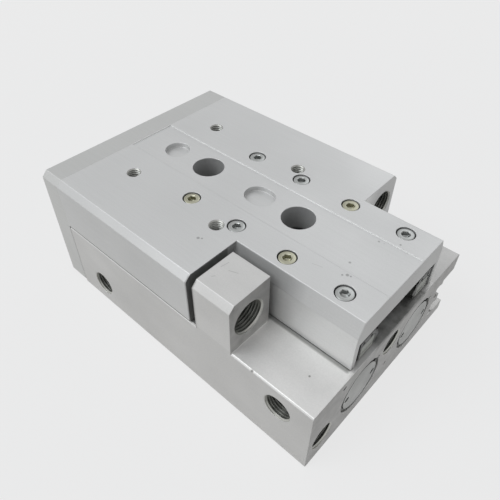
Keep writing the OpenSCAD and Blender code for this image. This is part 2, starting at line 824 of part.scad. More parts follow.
// Corners of the yoke plate's outline, counter-clockwise from the front's lower left
function yoke_outline() = [[-half_w, yoke_lift], [half_w, yoke_lift], [half_w, total_h - edge_bevel],
    [half_w - edge_bevel, total_h], [-half_w + edge_bevel, total_h], [-half_w, total_h - edge_bevel]];

module yoke_plate() {
    cb = m5[2] + head_sink;
    color("lightgray") place() difference() {
        along_x(0, yoke_t) polygon(yoke_outline());
        yoke_bevels();
        for (y = yoke_screw_y()) {
            translate([cb, y, yoke_screw_z()]) rotate([0, -90, 0]) screw_hole(m5, yoke_t, yoke_t);
        }
        each_bore() {
            translate([cb, 0, 0]) rotate([0, -90, 0]) screw_hole(m5, yoke_t, yoke_t);
            bar_x(rod_d + 2 * fit_clear, yoke_t - spigot_l, yoke_t + cut, 0, 0);
        }
        for (side = [-1, 1], row = [0, 1]) {
            bar_x(mount_d, -cut, mount_depth, side * yoke_grid_w / 2, yoke_grid_z + row * yoke_grid_h);
        }
    }
}

// Wedges that bevel every side of the yoke plate's outer face
module yoke_bevels() {
    b = yoke_bevel;
    corners = yoke_outline();
    n = len(corners);
    for (i = [0 : n - 1]) {
        edge = corners[(i + 1) % n] - corners[i];
        middle = (corners[(i + 1) % n] + corners[i]) / 2;
        translate([0, middle[0], middle[1]]) rotate([atan2(-edge[0], edge[1]), 0, 0])
            translate([0, 0, -norm(edge) / 2 - b]) linear_extrude(norm(edge) + 2 * b)
            polygon([[-cut, -b - cut], [b + cut, cut], [-cut, cut]]);
    }
}

module yoke_screws() {
    cb = m5[2] + head_sink;
    color("dimgray") place() for (y = yoke_screw_y()) {
        translate([cb, y, yoke_screw_z()]) rotate([0, -90, 0])
            socket_screw(m5, yoke_t - cb + yoke_screw_bite);
    }
}

module piston_rod(side) {
    color("whitesmoke") place() translate([0, side * bore_pitch / 2, bore_z]) difference() {
        union() {
            bar_x(rod_d, yoke_t - spigot_l, piston_x, 0, 0);
            bar_x(stud_d, piston_x - eps, piston_x + piston_l, 0, 0);
        }
        bar_x(m5[0] + thread_clear, yoke_t - spigot_l - cut, yoke_t + rod_screw_bite + thread_run_out, 0, 0);
    }
}

module piston_rod_left() {
    piston_rod(-1);
}

module piston_rod_right() {
    piston_rod(1);
}

module rod_screws() {
    cb = m5[2] + head_sink;
    color("dimgray") place() each_bore()
        translate([cb, 0, 0]) rotate([0, -90, 0]) socket_screw(m5, yoke_t - cb + rod_screw_bite);
}

// Front part of a piston: a disc with a seal groove, and the hub that carries the magnet
module piston(side) {
    front_l = piston_l - disc_l - hub_l;
    color("darkgray") place() translate([piston_x, side * bore_pitch / 2, bore_z]) difference() {
        union() {
            bar_x(piston_d, 0, front_l, 0, 0);
            bar_x(hub_d, 0, front_l + hub_l, 0, 0);
        }
        bar_x(stud_d + stud_play, -cut, piston_l, 0, 0);
        seal_groove(front_l / 2);
    }
}

// Groove for a lip seal round a piston, centred at x
module seal_groove(x) {
    tube_x(piston_d + 2 * cut, piston_d - 2 * lip_seal_depth, x - seal_w / 2, x + seal_w / 2, 0, 0);
}

module piston_left() {
    piston(-1);
}

module piston_right() {
    piston(1);
}

module piston_discs() {
    color("darkgray") place() each_bore() translate([piston_x + piston_l - disc_l, 0, 0]) difference() {
        bar_x(piston_d, 0, disc_l, 0, 0);
        bar_x(stud_d + stud_play, -cut, disc_l + cut, 0, 0);
        bar_x(nut_w / cos(30) + nut_play, disc_l - nut_l, disc_l + cut, 0, 0);
        seal_groove(disc_l / 2);
    }
}

module piston_magnets() {
    front_l = piston_l - disc_l - hub_l;
    color("black") place() each_bore()
        tube_x(piston_d - 2 * magnet_play, hub_d + magnet_play,
            piston_x + front_l, piston_x + front_l + hub_l, 0, 0);
}

module piston_seals() {
    front_l = piston_l - disc_l - hub_l;
    color("black") place() each_bore() for (x = [front_l / 2, piston_l - disc_l / 2]) {
        half_l = seal_w / 2 - lip_seal_play;
        tube_x(bore_d - 2 * running_clear, piston_d - 2 * (lip_seal_depth - fit_clear),
            piston_x + x - half_l, piston_x + x + half_l, 0, 0);
    }
}

module piston_nuts() {
    color("goldenrod") place() each_bore() translate([piston_x + piston_l - nut_l, 0, 0])
        rotate([0, 90, 0]) difference() {
            cylinder(d = nut_w / cos(30), h = nut_l, $fn = 6);
            translate([0, 0, -cut]) cylinder(d = stud_d + thread_clear, h = nut_l + 2 * cut);
        }
}

housing();
guide_rail();
guide_rail_screws();
front_cap_left();
front_cap_right();
rod_bushes();
rod_seals();
front_cap_rings();
front_circlips();
rear_cap_left();
rear_cap_right();
rear_cap_rings();
rear_circlips();
rear_bumpers();
stop_block();
stop_block_screws();
slide_table();
yoke_plate();
yoke_screws();
piston_rod_left();
piston_rod_right();
rod_screws();
piston_left();
piston_right();
piston_discs();
piston_magnets();
piston_seals();
piston_nuts();
cassette_left();
cassette_right();
ball_frame_left();
ball_frame_right();
guide_balls();
cassette_screws();
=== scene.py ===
import json
from math import ceil, cos, pi, radians, sin, tau

import bmesh
import bpy
from bpy.props import FloatProperty, FloatVectorProperty, IntProperty, PointerProperty
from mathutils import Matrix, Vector


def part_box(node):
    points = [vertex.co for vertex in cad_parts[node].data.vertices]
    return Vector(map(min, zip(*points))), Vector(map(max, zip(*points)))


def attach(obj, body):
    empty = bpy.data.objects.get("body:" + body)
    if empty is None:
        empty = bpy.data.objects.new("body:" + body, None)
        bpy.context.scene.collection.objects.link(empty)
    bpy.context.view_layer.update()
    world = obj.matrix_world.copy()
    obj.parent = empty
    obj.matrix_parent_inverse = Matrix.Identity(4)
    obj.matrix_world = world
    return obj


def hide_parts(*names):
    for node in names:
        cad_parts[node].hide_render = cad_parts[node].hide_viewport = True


bl_info = {
    "name": "Pneumatic Slide Table Finish",
    "version": (1, 0, 0),
    "blender": (4, 5, 0),
    "location": "3D View > Sidebar > Slide Table",
    "description": "Finishes, screws, threads and studio for a pneumatic slide table",
    "category": "Object",
}

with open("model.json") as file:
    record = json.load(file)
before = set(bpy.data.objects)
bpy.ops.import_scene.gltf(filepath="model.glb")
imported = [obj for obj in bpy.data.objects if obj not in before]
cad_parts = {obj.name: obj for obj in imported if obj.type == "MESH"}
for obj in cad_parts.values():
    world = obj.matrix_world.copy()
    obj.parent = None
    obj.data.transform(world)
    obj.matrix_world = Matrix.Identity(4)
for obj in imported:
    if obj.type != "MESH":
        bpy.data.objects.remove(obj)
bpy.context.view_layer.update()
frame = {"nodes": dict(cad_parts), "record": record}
MM = 0.001


def linear(code):
    """Scene-linear RGBA of an sRGB hex colour such as C8C8C9."""
    levels = [int(code[i:i + 2], 16) / 255 for i in (0, 2, 4)]
    return tuple(c / 12.92 if c <= 0.04045 else ((c + 0.055) / 1.055) ** 2.4 for c in levels) + (1.0,)


def colour(name, description, code):
    """A colour property whose default is an sRGB hex colour."""
    return FloatVectorProperty(name=name, description=description, subtype="COLOR", size=4,
                               min=0, max=1, default=linear(code))


def length(name, description, millimetres):
    """A length property whose default is given in millimetres."""
    return FloatProperty(name=name, description=description, unit="LENGTH", precision=5,
                         min=0, default=millimetres * MM)


class SlideTableFinishes(bpy.types.PropertyGroup):
    """Colours of the metals, plastics and rubbers, and the sizes of what marks them."""
    housing_alloy: colour("Housing aluminium", "Clear anodised skin of the blasted housing", "CBCAC8")
    table_alloy: colour("Table aluminium", "Clear anodised skin of the milled table and yoke", "CACAC9")
    yoke_alloy: colour("Yoke aluminium", "Clear anodised skin of the yoke plate, a batch apart", "C7C7C5")
    cap_alloy: colour("Cap aluminium", "Hard anodised skin of the turned caps and pistons", "9B9C9A")
    thread_alloy: colour("Tapped aluminium", "Clean walls of the small tapped holes", "A9AAA6")
    # A darker skin for the deep ports and the stop threads, which stands in for the shade inside them:
    # painted shade
    shade_darkened_alloy: colour("Oiled aluminium", "Walls of the ports and the stop threads", "7E7F7A")
    guide_steel: colour("Guide steel", "Ground and hardened rail and cassettes", "A9ABAC")
    zinc_blue: colour("Blue zinc", "Blue passivated zinc on the screws", "A6A8A7")
    zinc_yellow: colour("Yellow zinc", "Yellow passivated zinc on the older screws", "A9A897")
    spring_steel: colour("Spring steel", "Phosphated circlips", "525351")
    chrome: colour("Hard chrome", "Ground chrome on the piston rods", "C4C7CA")
    bronze: colour("Sintered bronze", "Rod bushes", "A8824F")
    ball_steel: colour("Ball steel", "Polished guide balls", "CDD0D2")
    acetal: colour("Grey acetal", "Moulded ball frames", "B4B5AE")
    nitrile: colour("Nitrile rubber", "Seals and rings", "1D1D1E")
    polyurethane: colour("Polyurethane", "End bumpers", "8E7B4A")
    ferrite: colour("Ferrite", "Pressed piston magnets", "333436")
    blast_grain: length("Blast grain", "Spacing of the pits that bead blasting leaves", 0.45)
    mill_pitch: length("Milling pitch", "Spacing of the cutter marks along the table", 0.6)
    # Reach of the painted corner shade, which darkens corners and recesses as shade
    corner_shade_reach: length("Grime reach", "How far from a corner oil and dust have gathered", 3.5)
    edge_break: length("Broken edge", "Radius to which sharp edges were deburred", 0.35)


class SlideTableDetails(bpy.types.PropertyGroup):
    """Sizes of the threads and of the screw heads."""
    m5_pitch: length("M5 pitch", "Coarse pitch of the table's and the yoke's threads", 0.8)
    stop_pitch: length("Stop pitch", "Fine pitch of the two M12 stop threads", 1.0)
    port_pitch: length("Port pitch", "Pitch of the G1/8 air ports, 28 threads an inch", 0.907)
    head_chamfer: length("Head chamfer", "Chamfer round the top of each screw head", 0.35)
    knurl_depth: length("Knurl depth", "Depth of the straight knurl round each head", 0.08)
    socket_entry: length("Socket entry", "Depth of the chamfer at the mouth of a hexagon socket", 0.2)
    facets: IntProperty(name="Facets", description="Faces round a screw head", default=96, min=24, max=192)


class SlideTableStage(bpy.types.PropertyGroup):
    """Camera, lamps, floor and background of the studio."""
    camera_place: FloatVectorProperty(name="Camera", description="Where the camera stands",
                                      subtype="TRANSLATION", unit="LENGTH", precision=4,
                                      default=(0.0902, -0.0997, 0.1517))
    camera_turn: FloatVectorProperty(name="Camera turn", description="Tilt, roll and heading of the camera",
                                     subtype="EULER", unit="ROTATION",
                                     default=(radians(45.73), radians(-0.35), radians(42.37)))
    lens: FloatProperty(name="Lens", description="Focal length in millimetres for a 36 mm sensor",
                        default=36.63, min=10, max=200)
    background: colour("Background", "What the camera sees of the floor and past it", "ECECEC")
    floor: colour("Floor", "Grey that the floor throws back at the object", "A6A39B")
    floor_glow: FloatProperty(name="Floor glow", description="Share of the seen floor that no shadow darkens",
                              default=0.9, min=0, max=1)
    sky_level: FloatProperty(name="Sky level", description="Strength of the even light from all round",
                             default=0.37, min=0, max=2)
    key_power: FloatProperty(name="Key power", description="Watts of the large softbox above the left side",
                             default=31.0, min=0, max=200)
    back_power: FloatProperty(name="Back power", description="Watts of the softbox that the top faces mirror",
                              default=1.8, min=0, max=200)


# Materials


def add_node(tree, kind, inputs=(), **settings):
    """Adds a node with its settings, and fills or links its inputs.

    The inputs come in the order of the sockets in use, or by name. Each is a value, a socket,
    or a node whose first output in use is linked.
    """
    node = tree.nodes.new(kind)
    for name, value in settings.items():
        setattr(node, name, value)
    used = [socket for socket in node.inputs if socket.enabled]
    if isinstance(inputs, dict):
        pairs = [(next(socket for socket in used if socket.name == name), inputs[name]) for name in inputs]
    else:
        pairs = zip(used, inputs)
    for socket, value in pairs:
        if isinstance(value, bpy.types.Node):
            value = next(output for output in value.outputs if output.enabled)
        if isinstance(value, bpy.types.NodeSocket):
            tree.links.new(value, socket)
        else:
            socket.default_value = value
    return node


def start_material(name):
    """A new material, its node tree and the place in the object."""
    material = bpy.data.materials.new(name)
    material.use_nodes = True
    tree = material.node_tree
    tree.nodes.clear()
    return material, tree, add_node(tree, "ShaderNodeTexCoord").outputs["Object"]


def finish_material(material, skin, shades, layers, roughness, relief, **sockets):
    """Joins what a surface is made of.

    The shades multiply the skin's colour, and each layer of a mask and a colour covers it in
    turn. The relief is a height, its strength, its depth and the normal that it stands on.
    """
    tree = material.node_tree
    surface = skin[:3]
    for shade in shades:
        surface = add_node(tree, "ShaderNodeVectorMath", (surface, shade), operation="SCALE")
    for mask, cover in layers:
        surface = add_node(tree, "ShaderNodeMix", (mask, surface, cover), data_type="RGBA")
    height, strength, depth, normal = relief
    bump = add_node(tree, "ShaderNodeBump", {"Height": height, "Strength": strength, "Distance": depth,
                                             "Normal": normal})
    shader = add_node(tree, "ShaderNodeBsdfPrincipled", {"Base Color": surface, "Roughness": roughness,
                                                         "Normal": bump, **sockets})
    add_node(tree, "ShaderNodeOutputMaterial", (shader,))
    return material


# The part of a noise's range in which nearly all of its values lie
NOISE_RANGE = (0.3, 0.7)


def mottle(tree, place, size, low, high, detail=3.0, stretch=(1, 1, 1)):
    """A noise of blotches about size metres across, and a shade from low to high that follows it."""
    drawn_out = add_node(tree, "ShaderNodeVectorMath", (place, stretch), operation="MULTIPLY")
    blotches = add_node(tree, "ShaderNodeTexNoise", (drawn_out, 1 / size, detail))
    return blotches, add_node(tree, "ShaderNodeMapRange", (blotches, *NOISE_RANGE, low, high))


def broken_edge(tree, radius, strength):
    """The normal with sharp edges rounded, and a mask of the given strength on those edges, which the
    materials paint mostly lighter, partly as wear and partly as a painted highlight.
    """
    rounded = add_node(tree, "ShaderNodeBevel", (radius,), samples=6)
    flat = add_node(tree, "ShaderNodeNewGeometry").outputs["Normal"]
    turned = add_node(tree, "ShaderNodeVectorMath", (rounded, flat), operation="DOT_PRODUCT")
    return rounded, add_node(tree, "ShaderNodeMapRange", (turned, 0.995, 0.85, 0.0, strength))


def corner_shade(tree, reach, depth):
    """A painted shade that falls from 1 on open faces to 1 - depth in corners and recesses, where less light
    reaches.
    """
    open_sky = add_node(tree, "ShaderNodeAmbientOcclusion", {"Distance": reach}, samples=8).outputs["AO"]
    return add_node(tree, "ShaderNodeMapRange", (open_sky, 0.12, 0.45, 1 - depth, 1.0))


def seen_rays(tree):
    """1 for the rays of the camera, of mirrors and of glass, and 0 for the rest."""
    path = add_node(tree, "ShaderNodeLightPath").outputs
    seen = path["Is Camera Ray"]
    for ray in ("Is Glossy Ray", "Is Transmission Ray"):
        seen = add_node(tree, "ShaderNodeMath", (seen, path[ray]), operation="MAXIMUM")
    return seen


def inside_box(tree, place, low, high, soft, strength=1.0):
    """A mask inside a box, in millimetres, which fades over its soft edge, or over one for each axis."""
    axes = add_node(tree, "ShaderNodeSeparateXYZ", (place,)).outputs
    mask = strength
    for axis, start, stop, fade in zip("XYZ", low, high, soft if isinstance(soft, tuple) else (soft,) * 3):
        rise = (axes[axis], (start - fade) * MM, start * MM, 0.0, 1.0)
        fall = (axes[axis], stop * MM, (stop + fade) * MM, 1.0, 0.0)
        for ramp in (rise, fall):
            edge = add_node(tree, "ShaderNodeMapRange", ramp)
            mask = add_node(tree, "ShaderNodeMath", (mask, edge), operation="MULTIPLY")
    return mask


def inside_bore(tree, place, x, y, top, radius, strength):
    """A mask in an upright hole, below its mouth; sizes are in millimetres."""
    axes = add_node(tree, "ShaderNodeSeparateXYZ", (place,)).outputs
    flat = add_node(tree, "ShaderNodeCombineXYZ", (axes["X"], axes["Y"], 0.0))
    away = add_node(tree, "ShaderNodeVectorMath", (flat, (x * MM, y * MM, 0.0)), operation="DISTANCE")
    near = add_node(tree, "ShaderNodeMapRange", (away, radius * MM, (radius + 0.2) * MM, strength, 0.0))
    deep = add_node(tree, "ShaderNodeMapRange", (axes["Z"], (top - 0.9) * MM, (top - 0.2) * MM, 1.0, 0.0))
    return add_node(tree, "ShaderNodeMath", (near, deep), operation="MULTIPLY")


def scratches(tree, place, lines, width, strength):
    """A mask along thin straight scratches, each given in millimetres by its two ends."""
    mask = 0.0
    for start, stop in lines:
        start = Vector(start) * MM
        way = Vector(stop) * MM - start
        reached = add_node(tree, "ShaderNodeVectorMath", (place, start), operation="SUBTRACT")
        share = add_node(tree, "ShaderNodeVectorMath", (reached, way / way.length_squared),
                         operation="DOT_PRODUCT")
        share = add_node(tree, "ShaderNodeClamp", (share,))
        nearest = add_node(tree, "ShaderNodeVectorMath", (way, share), operation="SCALE")
        away = add_node(tree, "ShaderNodeVectorMath", (reached, nearest), operation="DISTANCE")
        line = add_node(tree, "ShaderNodeMapRange", (away, width, width * 0.3, 0.0, strength))
        mask = add_node(tree, "ShaderNodeMath", (mask, line), operation="MAXIMUM")
    return mask


def spots(tree, place, marks, strength):
    """A mask inside small round marks, each given in millimetres as x, y, z and radius."""
    mask = 0.0
    for x, y, z, radius in marks:
        away = add_node(tree, "ShaderNodeVectorMath", (place, (x * MM, y * MM, z * MM)), operation="DISTANCE")
        inside = add_node(tree, "ShaderNodeMapRange", (away, radius * MM, radius * MM * 0.6, 0.0, strength))
        mask = add_node(tree, "ShaderNodeMath", (mask, inside), operation="MAXIMUM")
    return mask


def painted_patch_shades(tree, place, patches, soft=0.1):
    """A painted light or shade for each patch, which is 1 outside its box."""
    masks = [inside_box(tree, place, low, high, soft, change) for low, high, change in patches]
    return [add_node(tree, "ShaderNodeMath", (mask, 1.0), operation="ADD") for mask in masks]


# Dents and specks on the table's top, from handling: x, y, z and radius
TABLE_MARKS = (
    (43.5, -5.4, 48.6, 0.6), (44.9, 7.7, 48.6, 0.55), (46.5, 8.0, 48.6, 0.4), (44.8, -11.1, 48.6, 0.4),
    (45.9, -10.2, 48.6, 0.6), (46.9, -10.0, 48.6, 0.35), (49.7, 5.0, 48.6, 0.35), (4.6, -27.8, 48.6, 0.6),
    (5.6, -27.2, 48.6, 0.4), (50.5, 10.5, 48.6, 0.4),
)
# Scratches across the lug and the table, each from one end to the other
LUG_SCRATCHES = (
    ((17.9, -31.6, 48.6), (18.4, -28.9, 48.6)), ((20.6, -31.2, 48.6), (23.2, -30.2, 48.6)),
    ((18.6, -36.0, 48.6), (19.2, -35.2, 48.6)),
)
TABLE_SCRATCHES = (
    ((36.0, -13.2, 48.6), (39.0, -12.4, 48.6)), ((-40.0, -8.0, 48.6), (-35.0, -8.9, 48.6)),
)
# The two holes through which the screws of the guide rail are reached: x, y, top and radius
ACCESS_HOLES = ((-19.45, 0.0, 48.6, 5.7), (20.55, 0.0, 48.6, 5.7))
# The slot between the table's shoulder and the lug, darkened as painted shade
LUG_SLOT_SHADE = ((13.6, -41.6, 29.0), (16.4, -24.9, 48.0))
# The joint along the left side between the housing and the table, dark with dirt
SIDE_JOINT = ((-49.7, -41.7, 28.95), (13.6, -41.0, 29.7))
# The lip of the yoke plate over the end of the shallow band, painted bright as a highlight
YOKE_LIP_HIGHLIGHT = ((-50.2, -9.2, 48.25), (-49.95, 9.2, 48.65))
# The floor between the cassettes, under the table's roof, darkened in blotches as painted shade, and the
# painted shadow line along the table's left foot
CHANNEL_FLOOR_SHADE = ((20.0, -10.0, 28.6), (60.4, 17.0, 29.2))
FOOT_SHADOW_LINE = ((14.0, -23.8, 28.6), (58.5, -22.0, 29.2))
# Painted light and shade: faces made brighter or darker than the rest for how light falls on them and what
# they reflect; two corners of a box, and the change
HOUSING_PAINTED_LIGHT = (
    ((30.6, -42.0, 28.9), (61.0, -22.9, 30.0), 0.23), ((31.3, 22.9, 28.9), (61.0, 42.0, 30.0), -0.1),
    ((16.2, -41.6, 46.7), (30.6, -39.6, 48.6), -0.14), ((16.2, -41.7, 29.9), (30.6, -41.3, 46.5), 0.06),
    ((30.4, -41.2, 29.2), (30.7, -25.0, 48.3), 0.1),
)
TABLE_PAINTED_LIGHT = (
    ((13.9, -23.2, 29.0), (60.3, -22.6, 43.2), 0.06), ((31.0, 22.6, 29.0), (60.3, 23.2, 43.2), 0.06),
    ((58.8, -24.0, 29.0), (59.2, 24.0, 48.3), -0.12), ((31.1, 20.9, 29.0), (31.4, 42.0, 48.3), -0.1),
    ((-60.3, -39.4, 48.4), (-50.1, 39.4, 48.8), -0.08), ((-60.3, -41.6, 46.7), (16.0, -39.6, 48.6), -0.16),
)
# Soft painted light and shade, given as the patches are: the neck's bevel beside the lug is painted darker as
# shade, and the arm's end beside the neck and the flat behind the lug are painted lighter as light
TABLE_SOFT_PAINTED_LIGHT = (
    ((13.9, -23.2, 43.3), (34.0, -15.0, 48.2), -0.3), ((31.1, 20.9, 29.0), (31.4, 23.0, 48.3), 0.5),
)
HOUSING_SOFT_PAINTED_LIGHT = (((30.6, -30.0, 28.9), (34.0, -24.0, 29.3), 0.3),)
# How far the soft painted light and shade fade along each axis, in millimetres
PAINTED_LIGHT_FADE = (7.0, 7.0, 0.1)
# The nick in the housing's top left edge and a speck on the flat behind the lug
HOUSING_MARKS = ((38.7, -41.4, 28.9, 0.6), (51.6, -31.9, 29.0, 0.4))


def blasted_aluminium(settings):
    """Extruded aluminium, bead blasted and clear anodised.

    The blast leaves an even, matt grain of tiny pits; the oxide over it is colourless and
    slightly milky, so the metal shows pale grey with a soft sheen. Its edges are painted brighter,
    partly as rubbed wear and partly as a painted highlight; its corners, rear faces, channel floor,
    the table's foot and the lug slot get painted shade, and some faces are painted lighter or darker
    for how light falls on them.
    """
    material, tree, place = start_material("BeadBlastedClearAnodisedAluminium")
    rounded, edge = broken_edge(tree, settings.edge_break, 0.38)
    cloud, cloud_shade = mottle(tree, place, 28 * MM, 0.965, 1.03, 2.0)
    # Handling leaves faint smears, longer than they are wide
    smear_shade = mottle(tree, place, 5 * MM, 1.01, 0.955, 4.0, (0.3, 1.0, 0.6))[1]
    grain, grain_shade = mottle(tree, place, settings.blast_grain, 0.975, 1.025, 1.0)
    facing = add_node(tree, "ShaderNodeSeparateXYZ",
                      (add_node(tree, "ShaderNodeTexCoord").outputs["Normal"],)).outputs
    # Faces turned to +X, away from the lamps, are painted darker and blotchy: painted shade
    rear_shade_blotches = mottle(tree, place, 4 * MM, 0.58, 0.75, 5.0)[1]
    rear_facing = add_node(tree, "ShaderNodeMapRange", (facing["X"], 0.8, 0.95))
    rear_painted_shade = add_node(tree, "ShaderNodeMix", (rear_facing, 1.0, rear_shade_blotches), data_type="FLOAT")
    dirt_and_shade = linear("4A4B46")
    # Blotchy strength of the painted shade on the channel floor under the table's roof
    painted_shadow = mottle(tree, place, 2.5 * MM, 0.4, 0.75, 5.0)[1]
    layers = (
        # Edges are painted lighter, partly as rubbed wear and partly as a painted highlight
        (edge, linear("E6E6E4")),
        (scratches(tree, place, LUG_SCRATCHES, 0.2 * MM, 0.25), dirt_and_shade),
        (spots(tree, place, HOUSING_MARKS, 0.65), dirt_and_shade),
        # The channel floor, the foot line and the lug slot are painted shade; the side joint is a dark joint
        (inside_box(tree, place, *CHANNEL_FLOOR_SHADE, 2.0, painted_shadow), dirt_and_shade),
        (inside_box(tree, place, *FOOT_SHADOW_LINE, 0.7, 0.6), dirt_and_shade),
        (inside_box(tree, place, *LUG_SLOT_SHADE, 0.5, 0.5), dirt_and_shade),
        (inside_box(tree, place, *SIDE_JOINT, 0.05, 0.8), dirt_and_shade),
    )
    # The milky oxide scatters light before the metal reflects it, so the skin is only partly metallic
    shades = [cloud_shade, smear_shade, grain_shade, rear_painted_shade, corner_shade(tree, settings.corner_shade_reach, 0.6)]
    # Faces painted lighter or darker for how light falls on them, some with soft edges: painted light and
    # shade
    shades.extend(painted_patch_shades(tree, place, HOUSING_PAINTED_LIGHT))
    shades.extend(painted_patch_shades(tree, place, HOUSING_SOFT_PAINTED_LIGHT, PAINTED_LIGHT_FADE))
    roughness = add_node(tree, "ShaderNodeMapRange", (cloud, *NOISE_RANGE, 0.56, 0.46))
    return finish_material(material, settings.housing_alloy, shades, layers, roughness,
                           (grain, 0.18, 0.05 * MM, rounded), Metallic=0.6)


def milled_aluminium(name, skin, settings):
    """Aluminium milled flat, then finely blasted and clear anodised.

    The cutter's passes stay as faint bands along the length under the matt oxide, a shade
    lighter than the housing, with small dents and dark specks from use on the top. Its edges and
    the yoke's lip are painted brighter, partly as wear and partly as a painted highlight; its
    corners, the lug slot and the access holes get painted shade, and some faces are painted
    lighter or darker for how light falls on them.
    """
    material, tree, place = start_material(name)
    rounded, edge = broken_edge(tree, settings.edge_break, 0.36)
    cloud, cloud_shade = mottle(tree, place, 35 * MM, 0.97, 1.03, 2.0)
    # The cutter marks are drawn about three times as coarse as they are, so that they show
    passes, pass_shade = mottle(tree, place, settings.mill_pitch, 0.985, 1.015, 2.0, (0.03, 1.0, 1.0))
    grain, grain_shade = mottle(tree, place, settings.blast_grain * 0.8, 0.98, 1.02, 1.0)
    shades = [cloud_shade, pass_shade, grain_shade, corner_shade(tree, settings.corner_shade_reach, 0.6)]
    # Faces painted lighter or darker for how light falls on them, some with soft edges: painted light and
    # shade
    shades.extend(painted_patch_shades(tree, place, TABLE_PAINTED_LIGHT))
    shades.extend(painted_patch_shades(tree, place, TABLE_SOFT_PAINTED_LIGHT, PAINTED_LIGHT_FADE))
    worn_and_highlight = linear("EAEAE9")
    speck_and_bore_shade = linear("5A5A56")
    dirt_and_shade = linear("3E3F3B")
    layers = [
        # Edges and the yoke's lip are painted lighter, partly as wear and partly as a painted highlight
        (edge, worn_and_highlight),
        (inside_box(tree, place, *YOKE_LIP_HIGHLIGHT, 0.05, 0.8), worn_and_highlight),
        (spots(tree, place, TABLE_MARKS, 0.5), speck_and_bore_shade),
        (scratches(tree, place, TABLE_SCRATCHES, 0.18 * MM, 0.15), speck_and_bore_shade),
        # The lug slot is painted shade; the side joint is a dark joint
        (inside_box(tree, place, *LUG_SLOT_SHADE, 0.5, 0.5), dirt_and_shade),
        (inside_box(tree, place, *SIDE_JOINT, 0.05, 0.8), dirt_and_shade),
    ]
    # The walls of the access holes are darkened below their mouths: painted shade
    layers.extend((inside_bore(tree, place, *hole, 0.12), speck_and_bore_shade) for hole in ACCESS_HOLES)
    height = add_node(tree, "ShaderNodeMath", (passes, 0.6, grain), operation="MULTIPLY_ADD")
    roughness = add_node(tree, "ShaderNodeMapRange", (cloud, *NOISE_RANGE, 0.54, 0.44))
    return finish_material(material, skin, shades, layers, roughness,
                           (height, 0.15, 0.05 * MM, rounded), Metallic=0.6)


# The two bores lie this far to either side and this high, in millimetres
BORE_SIDE = 16.0
BORE_HEIGHT = 14.5


def lathe_place(tree, place, about_bores):
    """The place as a lathe sees it: along the axis, and out from it.

    CAD pieces turn about the two bores' axes along X; new pieces turn about their own Z.
    """
    centre = (0.0, BORE_SIDE * MM, BORE_HEIGHT * MM) if about_bores else (0.0, 0.0, 0.0)
    across = (0.0, 1.0, 1.0) if about_bores else (1.0, 1.0, 0.0)
    mirrored = add_node(tree, "ShaderNodeVectorMath", (place,), operation="ABSOLUTE")
    centred = add_node(tree, "ShaderNodeVectorMath", (mirrored, centre), operation="SUBTRACT")
    flat = add_node(tree, "ShaderNodeVectorMath", (centred, across), operation="MULTIPLY")
    out = add_node(tree, "ShaderNodeVectorMath", (flat,), operation="LENGTH")
    along = add_node(tree, "ShaderNodeSeparateXYZ", (place,)).outputs["X" if about_bores else "Z"]
    return add_node(tree, "ShaderNodeCombineXYZ", (along, out))


def machined_metal(name, skin, metallic, roughness, settings, turned=None, stretch=None, contrast=0.06):
    """A cut metal: a cloudy tone, tool marks, edges painted brighter as wear and as a highlight, and painted
    shade in the corners.

    A piece is turned about the "bores" or about its "own" axis, or its marks are stretched along
    its length. The marks are drawn coarser than they are, so that they show.
    """
    material, tree, place = start_material(name)
    rounded, edge = broken_edge(tree, settings.edge_break / 2, 0.6)
    height, cloud_shade = mottle(tree, place, 9 * MM, 1 - contrast, 1 + contrast)
    uneven = add_node(tree, "ShaderNodeMapRange",
                      (height, *NOISE_RANGE, roughness * 1.15, roughness * 0.85))
    shades = [cloud_shade, corner_shade(tree, 1.2 * MM, 0.55)]
    if turned or stretch:
        marks_place = lathe_place(tree, place, turned == "bores") if turned else place
        height, marks_shade = mottle(tree, marks_place, 0.35 * MM, 1 - contrast, 1 + contrast, 1.0,
                                     stretch or (1, 1, 1))
        shades.append(marks_shade)
    brighter = tuple(min(1.0, level * 1.35) for level in skin[:3]) + (1.0,)
    return finish_material(material, skin, shades, ((edge, brighter),), uneven,
                           (height, 0.12, 0.03 * MM, rounded), Metallic=metallic)


def hard_anodised_aluminium(settings):
    """Turned aluminium, hard anodised: a greyer, denser oxide over fine turning rings."""
    return machined_metal("TurnedHardAnodisedAluminium", settings.cap_alloy, 0.8, 0.45, settings, "bores")


def ground_steel(settings):
    """Bearing steel, hardened and ground lengthwise: close, straight scratches and a grey shine."""
    return machined_metal("GroundBearingSteel", settings.guide_steel, 1.0, 0.3, settings,
                          stretch=(0.03, 1.0, 1.0))


def zinc_steel(settings):
    """Steel, zinc plated and blue passivated: a cool, slightly cloudy metal over turning rings."""
    return machined_metal("BluePassivatedZincSteel", settings.zinc_blue, 1.0, 0.36, settings, "own",
                          contrast=0.08)


def yellow_zinc_steel(settings):
    """Steel whose zinc is yellow passivated, its colour worn thin: faintly yellow-green and cloudy."""
    return machined_metal("YellowPassivatedZincSteel", settings.zinc_yellow, 1.0, 0.38, settings, "own",
                          contrast=0.12)


def phosphated_spring_steel(settings):
    """Stamped spring steel, phosphated and oiled: dark grey with a dull shine."""
    return machined_metal("PhosphatedSpringSteel", settings.spring_steel, 0.7, 0.45, settings, "bores")


def hard_chrome(settings):
    """Steel rods, hard chromed and ground: a clear, bluish mirror with the finest grinding marks."""
    return machined_metal("GroundHardChrome", settings.chrome, 1.0, 0.14, settings, "bores", contrast=0.03)


def polished_ball_steel(settings):
    """Lapped chromium steel: bright all round, with no direction in it."""
    return machined_metal("PolishedBallSteel", settings.ball_steel, 1.0, 0.08, settings, contrast=0.02)


